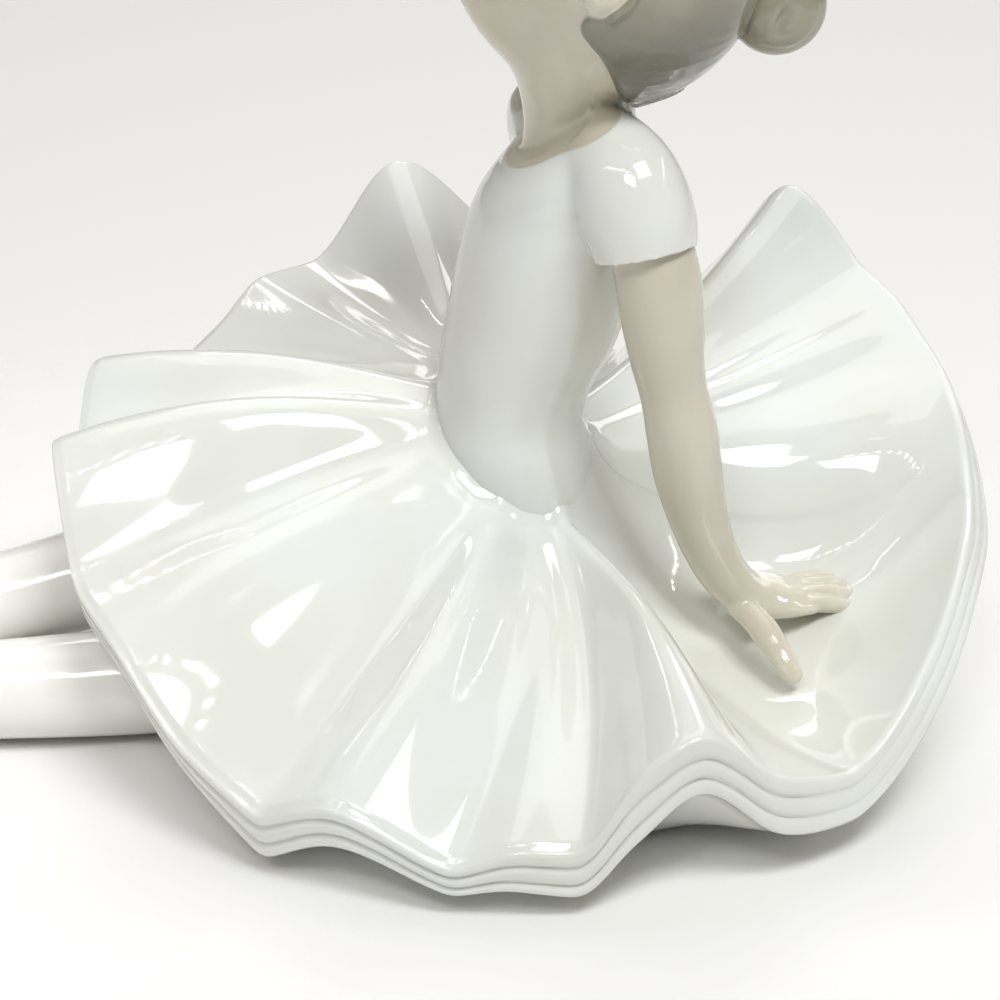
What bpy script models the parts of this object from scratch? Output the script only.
"""A seated porcelain ballerina, cast and fired as one piece.

Metres, +Z up. Her legs point along -X, her left side is towards -Y, and the origin is on the floor under
her waist. The figure's pose and proportions are written as shares of her height."""

import math

import bmesh
import bpy
import numpy as np
from mathutils import Vector

# Driving sizes, in metres
FIGURE_HEIGHT = 0.1275
SKIRT_RADIUS = 0.064
FOOT_RADIUS = 0.046
RIM_GROOVE = 0.0006
SLEEVE_LIP = 0.0007
HAIR_RELIEF = 0.0009

# The body is drawn in shares: 127.5 of them make her height
SHARES_TALL = 127.5
SHARE = FIGURE_HEIGHT / SHARES_TALL

# Facet counts
SKIRT_COLUMNS = 104
TORSO_SIDES = 22
LIMB_SIDES = 12
FINGER_SIDES = 7

# The folds of the skirt, in order round the rim. Azimuth in degrees from +X towards -Y, reach as a share
# of SKIRT_RADIUS, then the height of the rim, the height halfway in and the thickness of the three layers
# of the rim, in shares of the figure's height.
FOLDS = (
    (6, 0.95, 32.0, 17.5, 4.8),
    (20, 0.96, 29.5, 14.0, 4.8),
    (34, 0.98, 22.0, 11.8, 5.5),
    (50, 1.00, 13.2, 12.5, 7.0),
    (60, 1.00, 16.3, 17.5, 8.8),
    (71, 1.00, 25.8, 30.0, 9.8),
    (78, 1.00, 21.5, 26.5, 11.5),
    (85, 1.00, 11.0, 22.0, 8.2),
    (91, 1.00, 11.2, 24.0, 7.4),
    (99, 1.00, 8.0, 22.0, 5.4),
    (113, 1.00, 14.2, 28.0, 7.0),
    (123, 1.00, 9.5, 24.5, 7.6),
    (134, 1.01, 15.5, 29.5, 5.5),
    (148, 1.02, 25.5, 35.5, 5.0),
    (158, 1.02, 27.0, 35.5, 5.0),
    (171, 1.02, 41.0, 46.0, 5.0),
    (181, 0.99, 33.0, 41.5, 5.0),
    (191, 0.98, 43.0, 46.5, 5.0),
    (206, 0.97, 31.0, 39.5, 5.0),
    (221, 0.96, 36.5, 40.0, 5.0),
    (229, 0.96, 41.5, 41.5, 5.0),
    (237, 0.96, 41.5, 40.0, 5.0),
    (251, 0.95, 56.0, 44.5, 4.5),
    (266, 0.95, 42.5, 39.5, 4.5),
    (284, 0.95, 22.5, 29.5, 5.0),
    (300, 0.95, 42.5, 37.0, 4.5),
    (311, 0.95, 56.5, 43.5, 4.5),
    (325, 0.95, 47.8, 38.5, 4.5),
    (332, 0.95, 46.2, 39.0, 4.5),
    (341, 0.95, 42.6, 35.4, 4.5),
    (352, 0.945, 40.0, 32.0, 4.8),
)
# Where the skirt leaves the waist: its middle, its radius and the tilt of that ring
WAIST_MIDDLE_X = -1.9
WAIST_RADIUS = 9.0
WAIST_HEIGHT = 35.5
WAIST_RISE_IN_FRONT = 6.0
WAIST_RISE_AT_FAR_SIDE = 4.5
# Behind her the skirt climbs the small of the back
WAIST_RISE_BEHIND = 6.0
WAIST_BEHIND_AZIMUTH = 15.0
WAIST_BEHIND_SPREAD = 45.0
# The folds on her near side lean round by this much between the rim and the waist
FOLD_LEAN = 15.0
FOLD_LEAN_AZIMUTH = 95.0
FOLD_LEAN_SPREAD = 55.0
# Shares of the way from waist to rim at which the skirt has a row of corners
SKIRT_ROWS = (0.0, 0.12, 0.30, 0.50, 0.68, 0.84, 0.95)
# The rim's corners: how far out in shares, and how deep in layers. Each lower layer starts a step further in.
RIM_LAYERS = 3
RIM_STEP_IN = 0.28
RIM_TOP = ((-0.35, 0.0), (0.35, 0.32))
RIM_BEAD_END = (0.35, -0.12)
RIM_VALLEY_DEPTH = 0.25
RIM_BEAD_START = (0.35, 0.22)
RIM_FOOT = ((-0.55, 2.75), (-1.6, 3.0))
# The layers show from her left hand round to her feet and melt into one rounded rim elsewhere
LAYERED_MIDDLE = 122.0
LAYERED_FULL = 55.0
LAYERED_END = 85.0
LAYERED_LEAST = 0.25
# Under the rim the skirt hollows up towards the foot: rows of corners and how fast it falls
UNDER_ROWS = (0.62, 0.28)
UNDER_FALL = 1.15

# Torso: (x, z, half depth, half width, lean of the section in degrees)
TORSO = (
    (0.0, 12.0, 10.4, 11.4, 4),
    (-0.5, 25.0, 11.0, 12.0, 4),
    (-1.9, 36.0, 11.3, 12.2, 4),
    (-2.5, 42.0, 10.7, 11.6, 6),
    (-1.6, 48.0, 11.2, 12.0, 10),
    (0.4, 54.0, 12.0, 12.8, 12),
    (1.9, 60.0, 12.3, 13.4, 11),
    (3.0, 66.0, 12.0, 13.8, 8),
    (4.0, 72.0, 11.2, 14.0, 2),
    (4.7, 77.5, 10.2, 14.2, -12),
    (4.9, 81.2, 9.8, 12.6, -26),
    (4.8, 83.8, 9.2, 9.6, -34),
)
NECK = (
    (5.0, 76.0, 8.0, 6.8, -10),
    (5.2, 80.0, 7.8, 7.0, -20),
    (5.6, 84.0, 7.0, 7.5, -16),
    (5.6, 88.0, 7.4, 9.5, -4),
    (5.6, 93.0, 9.4, 12.7, 4),
    (6.6, 98.0, 10.6, 14.6, 8),
)

# Head: a ball with a small chin, tipped back
HEAD_MIDDLE = (9.5, 0.0, 107.2)
HEAD_TIP_BACK = 48.0
HEAD_HALF_DEPTH = 20.2
HEAD_HALF_WIDTH = 18.6
HEAD_HALF_HEIGHT = 20.4
# The lower half of the face narrows by this share towards the neck
JAW_TAPER = 0.36
# It sets in between these shares of the way down and towards the face
JAW_DOWN = (0.15, 0.95)
JAW_FRONT = (-0.5, 0.1)
# Swellings of the face in the head's own frame: forward, sideways, up, spread and rise
FACE = (
    (0.0, 0.0, -1.0, 0.34, -1.1),
    (0.70, 0.0, -0.70, 0.15, 1.3),
    (0.86, 0.42, -0.26, 0.22, 0.7),
    (0.94, 0.30, 0.02, 0.12, -0.6),
    (0.968, 0.0, -0.25, 0.085, 2.4),
    (0.995, 0.0, -0.08, 0.10, 0.9),
    (0.90, 0.0, -0.44, 0.075, 0.8),
    (0.87, 0.0, -0.50, 0.075, 0.8),
)
# The hair's border, in head radii: beside the ear, how far forward it runs over the forehead, how low it
# starts under the ear and how much lower it ends at the nape
HAIRLINE_AT_EAR = -0.06
HAIRLINE_FORWARD = 0.62
HAIRLINE_UNDER_EAR = -0.36
HAIRLINE_AT_NAPE = -0.17
HAIRLINE_EDGE = 0.05
EAR = (-0.03, 1.0, -0.02)
EAR_SIZE = (3.0, 1.5, 4.1)
# The bun sits this far round from the back of the head, with its middle this far outside the hair
BUN_ANGLE = 27.6
BUN_PROUD = 2.6
BUN_RADIUS = 5.5
BUN_HALF_WIDTH = 5.0
BUN_DIMPLE = 1.6
BUN_DIMPLE_SPREAD = 0.42

# Limbs: (x, y, z, half depth, half width)
NEAR_SLEEVE = (
    (8.0, -7.0, 82.0, 6.0, 4.5),
    (11.6, -12.4, 79.6, 6.8, 5.4),
    (13.9, -15.0, 75.4, 7.0, 6.1),
    (14.9, -16.2, 70.8, 6.4, 6.4),
)
NEAR_ARM = (
    (14.2, -15.0, 78.0, 5.0, 5.0),
    (16.4, -16.2, 68.0, 5.6, 5.5),
    (17.3, -16.9, 62.0, 5.5, 5.3),
    (18.0, -17.2, 56.5, 4.9, 4.9),
    (19.0, -17.3, 51.5, 4.5, 4.6),
    (20.2, -17.3, 46.0, 4.8, 4.8),
    (21.2, -17.2, 40.0, 4.7, 4.6),
    (22.7, -17.0, 33.5, 4.1, 4.1),
    (24.8, -16.6, 27.5, 3.6, 3.6),
    (27.4, -15.6, 22.8, 3.3, 3.9),
    (31.0, -13.6, 19.4, 2.7, 4.6),
    (35.0, -11.9, 18.1, 2.1, 4.9),
    (38.0, -10.8, 17.6, 1.6, 4.7),
)
# Fingers: root and tip, with the arch between them
NEAR_FINGERS = (
    ((35.0, -14.6, 17.6), (46.8, -11.6, 15.3), 1.2),
    ((35.5, -12.2, 18.1), (48.0, -9.2, 15.5), 1.25),
    ((35.5, -10.0, 18.1), (47.5, -6.9, 15.7), 1.2),
    ((35.0, -8.0, 17.6), (46.2, -4.8, 15.9), 1.1),
)
NEAR_THUMB = ((28.6, -17.0, 19.8), (35.4, -26.8, 14.4), 1.9)
FINGER_ARCH = 1.0
# Thickness of a finger along its length: (share of the way, half depth, half width) in finger radii
FINGER_SHAPE = ((0.0, 1.05, 1.05), (0.5, 1.0, 1.0), (1.0, 0.72, 0.8))

FAR_SLEEVE = (
    (4.2, 7.2, 81.6, 5.8, 4.6),
    (4.2, 12.6, 79.4, 6.6, 5.6),
    (4.6, 14.8, 74.5, 6.6, 6.0),
    (5.4, 15.8, 69.8, 6.3, 6.2),
)
FAR_ARM = (
    (4.8, 14.0, 77.0, 4.8, 4.8),
    (5.6, 15.8, 67.0, 5.3, 5.3),
    (6.2, 16.8, 59.0, 4.8, 4.8),
    (5.4, 17.6, 52.0, 4.4, 4.4),
    (3.6, 19.6, 45.5, 3.9, 3.9),
    (1.2, 22.2, 40.4, 3.2, 3.4),
    (-1.4, 25.2, 38.2, 2.2, 3.9),
    (-3.2, 29.0, 38.0, 1.7, 3.7),
)
FAR_FINGERS = (
    ((-5.6, 28.4, 37.8), (-9.2, 35.2, 38.6), 1.1),
    ((-4.0, 29.6, 38.2), (-6.4, 37.2, 38.6), 1.15),
    ((-2.0, 30.2, 38.2), (-3.4, 37.8, 38.6), 1.1),
    ((-0.2, 30.0, 37.8), (-0.6, 36.8, 38.2), 1.05),
)
FAR_THUMB = ((-3.6, 25.0, 38.0), (-10.6, 28.2, 38.4), 1.4)

NEAR_LEG = (
    (-10.0, -9.0, 13.0, 9.0, 9.0),
    (-34.0, -14.5, 9.6, 8.6, 8.6),
    (-52.0, -17.4, 8.0, 7.6, 7.6),
    (-68.0, -18.9, 7.5, 7.0, 7.1),
    (-84.0, -19.4, 6.9, 6.3, 6.5),
    (-97.0, -19.2, 5.6, 4.4, 4.6),
    (-103.0, -19.0, 5.2, 4.3, 4.5),
    (-111.0, -19.0, 4.4, 3.7, 4.4),
    (-118.0, -18.8, 3.4, 2.4, 3.2),
)
FAR_LEG = (
    (-10.0, 7.0, 19.0, 9.0, 9.0),
    (-34.0, 4.0, 19.2, 8.4, 8.6),
    (-52.0, -0.6, 17.6, 7.6, 7.6),
    (-68.0, -4.2, 14.8, 7.0, 7.1),
    (-84.0, -7.6, 11.4, 6.3, 6.5),
    (-97.0, -10.0, 7.8, 4.4, 4.6),
    (-103.0, -10.6, 6.6, 4.3, 4.5),
    (-111.0, -11.0, 5.0, 3.7, 4.3),
    (-118.0, -11.2, 3.6, 2.4, 3.2),
)


def clear_scene():
    for obj in list(bpy.data.objects):
        bpy.data.objects.remove(obj, do_unlink=True)


def material(name, colour, roughness):
    made = bpy.data.materials.new(name)
    made.use_nodes = True
    shader = made.node_tree.nodes["Principled BSDF"]
    shader.inputs["Base Color"].default_value = (*colour, 1.0)
    shader.inputs["Roughness"].default_value = roughness
    shader.inputs["Metallic"].default_value = 0.0
    made.diffuse_color = (*colour, 1.0)
    return made


def smooth(low, high, value):
    t = min(1.0, max(0.0, (value - low) / (high - low)))
    return t * t * (3.0 - 2.0 * t)


def new_object(name, corners, faces, paint):
    """A closed mesh object from corners in metres, smooth shaded, with its faces pointing out."""
    mesh = bpy.data.meshes.new(name)
    mesh.from_pydata([tuple(c) for c in corners], [], faces)
    work = bmesh.new()
    work.from_mesh(mesh)
    bmesh.ops.recalc_face_normals(work, faces=work.faces)
    work.to_mesh(mesh)
    work.free()
    mesh.materials.append(paint)
    mesh.shade_smooth()
    obj = bpy.data.objects.new(name, mesh)
    bpy.context.scene.collection.objects.link(obj)
    return obj


def closed_rings(name, rings, paint):
    """A solid through rings of equal length, closed by a corner at the middle of each end ring."""
    count = len(rings[0])
    corners = [point for ring in rings for point in ring]
    faces = []
    for row in range(len(rings) - 1):
        for i in range(count):
            j = (i + 1) % count
            faces.append((row * count + i, row * count + j, (row + 1) * count + j, (row + 1) * count + i))
    for row in (0, len(rings) - 1):
        middle = len(corners)
        corners.append(np.mean(rings[row], axis=0))
        for i in range(count):
            faces.append((row * count + i, row * count + (i + 1) % count, middle))
    return new_object(name, corners, faces, paint)


def spline(rows, steps):
    """Points on a smooth curve through the rows of a table, steps of them between each two rows."""
    table = np.array(rows, float)
    padded = np.vstack([2 * table[0] - table[1], table, 2 * table[-1] - table[-2]])
    found = []
    for k in range(1, len(padded) - 2):
        a, b, c, d = padded[k - 1], padded[k], padded[k + 1], padded[k + 2]
        for i in range(steps):
            t = i / steps
            found.append(0.5 * (2 * b + (c - a) * t + (2 * a - 5 * b + 4 * c - d) * t * t
                                + (3 * b - a - 3 * c + d) * t ** 3))
    found.append(table[-1])
    return np.array(found)


def body_section(x, z, half_depth, half_width, lean, sides):
    """One section of the trunk: an oval in a plane that leans back by so many degrees.

    Its corners lie half a step off the middle plane, where the head and bun have theirs."""
    back = np.array([math.cos(math.radians(lean)), 0.0, -math.sin(math.radians(lean))])
    middle = np.array([x, 0.0, z])
    ring = []
    for i in range(sides):
        angle = 2 * math.pi * (i + 0.5) / sides
        ring.append((middle + back * half_depth * math.cos(angle)
                     + np.array([0.0, half_width * math.sin(angle), 0.0])) * SHARE)
    return ring


def trunk(name, table, sides, steps, paint):
    rows = spline(table, steps)
    return closed_rings(name, [body_section(*row, sides) for row in rows], paint)


def limb(name, table, sides, steps, paint, side_axis=(0.0, 1.0, 0.0), rounded=True):
    """A tube along a path. Half depth lies across the path and the side axis, half width along that axis."""
    rows = spline(table, steps)
    path = rows[:, :3]
    rings = []
    for k, row in enumerate(rows):
        ahead = path[min(k + 1, len(path) - 1)] - path[max(k - 1, 0)]
        ahead /= np.linalg.norm(ahead)
        side = np.array(side_axis, float)
        side -= ahead * side.dot(ahead)
        side /= np.linalg.norm(side)
        up = np.cross(ahead, side)
        turns = [2 * math.pi * i / sides for i in range(sides)]
        shapes = [(0.0, 1.0)]
        if rounded and k == len(rows) - 1:
            shapes = [(0.0, 1.0), (0.5, 0.87), (0.87, 0.5)]
        for forward, width in shapes:
            middle = row[:3] + ahead * forward * row[3]
            rings.append([(middle + up * row[3] * width * math.cos(a)
                           + side * row[4] * width * math.sin(a)) * SHARE for a in turns])
    return closed_rings(name, rings, paint)


def finger(name, root, tip, radius, paint):
    """A finger from its root to its tip, arched a little off the cloth."""
    start, end = np.array(root), np.array(tip)
    rows = []
    for share, depth, width in FINGER_SHAPE:
        middle = start + (end - start) * share + np.array([0.0, 0.0, FINGER_ARCH * math.sin(math.pi * share)])
        rows.append((*middle, radius * depth, radius * width))
    return limb(name, rows, FINGER_SIDES, 2, paint, side_axis=(-0.3, 1.0, 0.0))


def fold_values(azimuth):
    """Reach, rim height, mid height and rim thickness at an azimuth, with no overshoot between folds."""
    angles = np.array([row[0] for row in FOLDS], float)
    values = np.array([row[1:] for row in FOLDS], float)
    angles = np.concatenate([angles[-2:] - 360, angles, angles[:3] + 360])
    values = np.vstack([values[-2:], values, values[:3]])
    azimuth = (azimuth - FOLDS[0][0]) % 360 + FOLDS[0][0]
    k = min(int(np.searchsorted(angles, azimuth, side="right")) - 1, len(angles) - 3)
    steps = np.diff(angles)
    slopes = np.diff(values, axis=0) / steps[:, None]

    def slope_at(i):
        before, after = slopes[i - 1], slopes[i]
        w1, w2 = 2 * steps[i] + steps[i - 1], steps[i] + 2 * steps[i - 1]
        same = before * after > 0
        safe_before = np.where(same, before, 1.0)
        safe_after = np.where(same, after, 1.0)
        return np.where(same, (w1 + w2) / (w1 / safe_before + w2 / safe_after), 0.0)

    t = (azimuth - angles[k]) / steps[k]
    low, high = slope_at(k) * steps[k], slope_at(k + 1) * steps[k]
    return (values[k] * (1 + 2 * t) * (1 - t) ** 2 + low * t * (1 - t) ** 2
            + values[k + 1] * t * t * (3 - 2 * t) + high * t * t * (t - 1))


def skirt_point(azimuth, share_out):
    """A point of the skirt's upper face and its azimuth there, share_out of the way from waist to rim."""
    reach, rim, middle, _ = fold_values(azimuth)
    radius_at_rim = reach * SKIRT_RADIUS / SHARE
    lean = FOLD_LEAN * math.exp(-((azimuth - FOLD_LEAN_AZIMUTH) / FOLD_LEAN_SPREAD) ** 2)
    turn = math.radians(azimuth - lean * (1 - share_out))
    waist = WAIST_HEIGHT - WAIST_RISE_IN_FRONT * math.cos(turn) - WAIST_RISE_AT_FAR_SIDE * math.sin(turn)
    behind = (azimuth - WAIST_BEHIND_AZIMUTH + 180) % 360 - 180
    waist += WAIST_RISE_BEHIND * math.exp(-(behind / WAIST_BEHIND_SPREAD) ** 2)
    bend = 2 * (waist - 2 * middle + rim)
    height = waist + (rim - waist - bend) * share_out + bend * share_out ** 2
    radius = WAIST_RADIUS + (radius_at_rim - WAIST_RADIUS) * share_out
    x = WAIST_MIDDLE_X * (1 - share_out) + radius * math.cos(turn)
    return np.array([x, -radius * math.sin(turn), height]), turn


def skirt_column(azimuth):
    """The outline of the skirt in one upright slice: from the waist over the rim, then under to the foot."""
    thickness = fold_values(azimuth)[3]
    column = [skirt_point(azimuth, s)[0] for s in SKIRT_ROWS]
    edge, turn = skirt_point(azimuth, 1.0)
    inner = skirt_point(azimuth, 0.93)[0]
    outward = np.array([math.cos(turn), -math.sin(turn), 0.0])
    upward = np.array([0.0, 0.0, 1.0])
    # The rim is cut square where the cloth rises to it, and upright where the cloth falls
    rise = max(0.0, math.atan2(edge[2] - inner[2], np.linalg.norm(edge[:2] - inner[:2])))
    out_axis = outward * math.cos(rise) + upward * math.sin(rise)
    down_axis = outward * math.sin(rise) - upward * math.cos(rise)
    away = abs((azimuth - LAYERED_MIDDLE + 180) % 360 - 180)
    layered = 1.0 - (1.0 - LAYERED_LEAST) * smooth(LAYERED_FULL, LAYERED_END, away)
    layer = thickness / RIM_LAYERS
    rim = list(RIM_TOP)
    for k in range(1, RIM_LAYERS):
        valley = RIM_BEAD_END[0] - (RIM_VALLEY_DEPTH + RIM_GROOVE / SHARE) * layered
        for out, deep in (RIM_BEAD_END, (valley, 0.0), RIM_BEAD_START):
            rim.append((out - RIM_STEP_IN * layered * k, k + deep))
    rim += RIM_FOOT
    column += [edge + out_axis * out + down_axis * deep * layer for out, deep in rim]
    last = column[-1]
    foot = FOOT_RADIUS / SHARE
    last_radius = float(np.dot(last, outward))
    for share in UNDER_ROWS:
        radius = foot + (last_radius - foot) * share
        column.append(outward * radius + upward * last[2] * share ** UNDER_FALL)
    column.append(outward * foot)
    return column


def skirt(paint):
    columns = [skirt_column(360.0 * i / SKIRT_COLUMNS) for i in range(SKIRT_COLUMNS)]
    rings = [[columns[i][k] * SHARE for i in range(SKIRT_COLUMNS)] for k in range(len(columns[0]))]
    return closed_rings("skirt", rings, paint)


def head_axes():
    tip = math.radians(HEAD_TIP_BACK)
    forward = np.array([-math.cos(tip), 0.0, math.sin(tip)])
    up = np.array([math.sin(tip), 0.0, math.cos(tip)])
    return forward, np.array([0.0, 1.0, 0.0]), up


def head_surface(local):
    """The head's surface along a unit direction given as (forward, sideways, up) in the head's own frame."""
    f, s, u = local
    sizes = (f / HEAD_HALF_DEPTH, s / HEAD_HALF_WIDTH, u / HEAD_HALF_HEIGHT)
    base = 1.0 / math.hypot(*sizes)
    for ff, ss, uu, spread, rise in FACE:
        size = math.sqrt(ff * ff + ss * ss + uu * uu)
        for side in ((1, -1) if ss else (1,)):
            away = math.dist((f, s, u), (ff / size, side * ss / size, uu / size))
            base += rise * math.exp(-(away / spread) ** 2)
    return base + HAIR_RELIEF / SHARE * hair_share(local)


def head_point(local):
    """The point of the head in that direction, with the jaw drawn in."""
    forward, side, up = head_axes()
    reach = head_surface(local)
    f, s, u = (reach * v for v in local)
    s *= 1.0 - JAW_TAPER * smooth(*JAW_DOWN, -local[2]) * smooth(*JAW_FRONT, local[0])
    return np.array(HEAD_MIDDLE) + forward * f + side * s + up * u


def hair_share(local):
    """1 on the hair and 0 on the skin: the hair ends over the forehead, round the ear and along the nape."""
    f, _, u = local
    front = HAIRLINE_AT_EAR + HAIRLINE_FORWARD * smooth(0.0, 0.85, u)
    low = HAIRLINE_UNDER_EAR + HAIRLINE_AT_NAPE * smooth(-0.3, -0.85, f)
    return smooth(-HAIRLINE_EDGE, HAIRLINE_EDGE, min(front - f, u - low))


def head(paint):
    rings = []
    rows, columns = 18, 32
    for row in range(1, rows):
        polar = math.pi * row / rows
        ring = []
        for i in range(columns):
            turn = 2 * math.pi * i / columns
            local = (math.sin(polar) * math.cos(turn), math.sin(polar) * math.sin(turn), math.cos(polar))
            ring.append(head_point(local) * SHARE)
        rings.append(ring)
    return closed_rings("head", rings, paint)


def ball(name, middle, axes, radii, rows, columns, paint):
    """An ellipsoid with its pole along the third of its axes."""
    rings = []
    for row in range(1, rows):
        polar = math.pi * row / rows
        ring = []
        for i in range(columns):
            turn = 2 * math.pi * i / columns
            local = (math.sin(polar) * math.cos(turn), math.sin(polar) * math.sin(turn), math.cos(polar))
            off = sum(np.array(axes[k]) * radii[k] * local[k] for k in range(3))
            ring.append((np.array(middle) + off) * SHARE)
        rings.append(ring)
    return closed_rings(name, rings, paint)


def ears(paint):
    made = []
    for sign, name in ((-1, "near_ear"), (1, "far_ear")):
        local = np.array([EAR[0], sign * EAR[1], EAR[2]])
        local /= np.linalg.norm(local)
        made.append(ball(name, head_point(tuple(local)), head_axes(), EAR_SIZE, 6, 10, paint))
    return made


def bun(paint):
    """A coil of hair: a flattened ball with a dimple at the middle of each side."""
    angle = math.radians(BUN_ANGLE)
    local = (-math.cos(angle), 0.0, math.sin(angle))
    forward, _, up = head_axes()
    middle = head_point(local) + (forward * local[0] + up * local[2]) * BUN_PROUD
    rings = []
    rows, columns = 13, 20
    for row in range(1, rows):
        polar = math.pi * row / rows
        dimple = BUN_DIMPLE * math.exp(-(math.sin(polar) / BUN_DIMPLE_SPREAD) ** 2)
        across = (BUN_HALF_WIDTH - dimple) * math.cos(polar)
        radius = BUN_RADIUS * math.sin(polar)
        ring = []
        for i in range(columns):
            turn = 2 * math.pi * i / columns
            off = np.array([radius * math.cos(turn), across, radius * math.sin(turn)])
            ring.append((middle + off) * SHARE)
        rings.append(ring)
    return closed_rings("bun", rings, paint)


def sleeve(name, table, paint):
    """A short puffed sleeve that ends in a flat hem, a lip wider than the arm."""
    widened = [(*row[:3], row[3] + SLEEVE_LIP / SHARE, row[4] + SLEEVE_LIP / SHARE) for row in table]
    return limb(name, widened, LIMB_SIDES + 4, 2, paint, rounded=False)


def unite(base, others):
    """The Boolean union of the base with the others, one after another. The others are removed."""
    for other in others:
        joined = base.modifiers.new("join " + other.name, "BOOLEAN")
        joined.operation = "UNION"
        joined.solver = "EXACT"
        joined.object = other
        graph = bpy.context.evaluated_depsgraph_get()
        mesh = bpy.data.meshes.new_from_object(base.evaluated_get(graph))
        base.modifiers.clear()
        base.data = mesh
        bpy.data.objects.remove(other, do_unlink=True)
    return base


def model():
    clear_scene()
    glaze = material("white_glaze", (0.86, 0.86, 0.83), 0.08)
    skin = material("skin_glaze", (0.60, 0.56, 0.46), 0.08)
    hair = material("hair_glaze", (0.23, 0.21, 0.17), 0.08)
    figure = skirt(glaze)
    pieces = [
        trunk("torso", TORSO, TORSO_SIDES, 2, glaze),
        trunk("neck", NECK, LIMB_SIDES + 4, 2, skin),
        head(hair),
        bun(hair),
        *ears(skin),
        limb("near_leg", NEAR_LEG, LIMB_SIDES + 2, 1, glaze),
        limb("far_leg", FAR_LEG, LIMB_SIDES + 2, 1, glaze),
        sleeve("near_sleeve", NEAR_SLEEVE, glaze),
        sleeve("far_sleeve", FAR_SLEEVE, glaze),
        limb("near_arm", NEAR_ARM, LIMB_SIDES, 1, skin),
        limb("far_arm", FAR_ARM, LIMB_SIDES, 1, skin),
    ]
    for side, fingers, thumb in (("near", NEAR_FINGERS, NEAR_THUMB), ("far", FAR_FINGERS, FAR_THUMB)):
        for k, (root, tip, radius) in enumerate((*fingers, thumb)):
            pieces.append(finger(f"{side}_finger_{k}", root, tip, radius, skin))
    unite(figure, pieces)
    figure.name = "ballerina_figurine"
    figure.data.name = "ballerina_figurine"
    return figure


model()
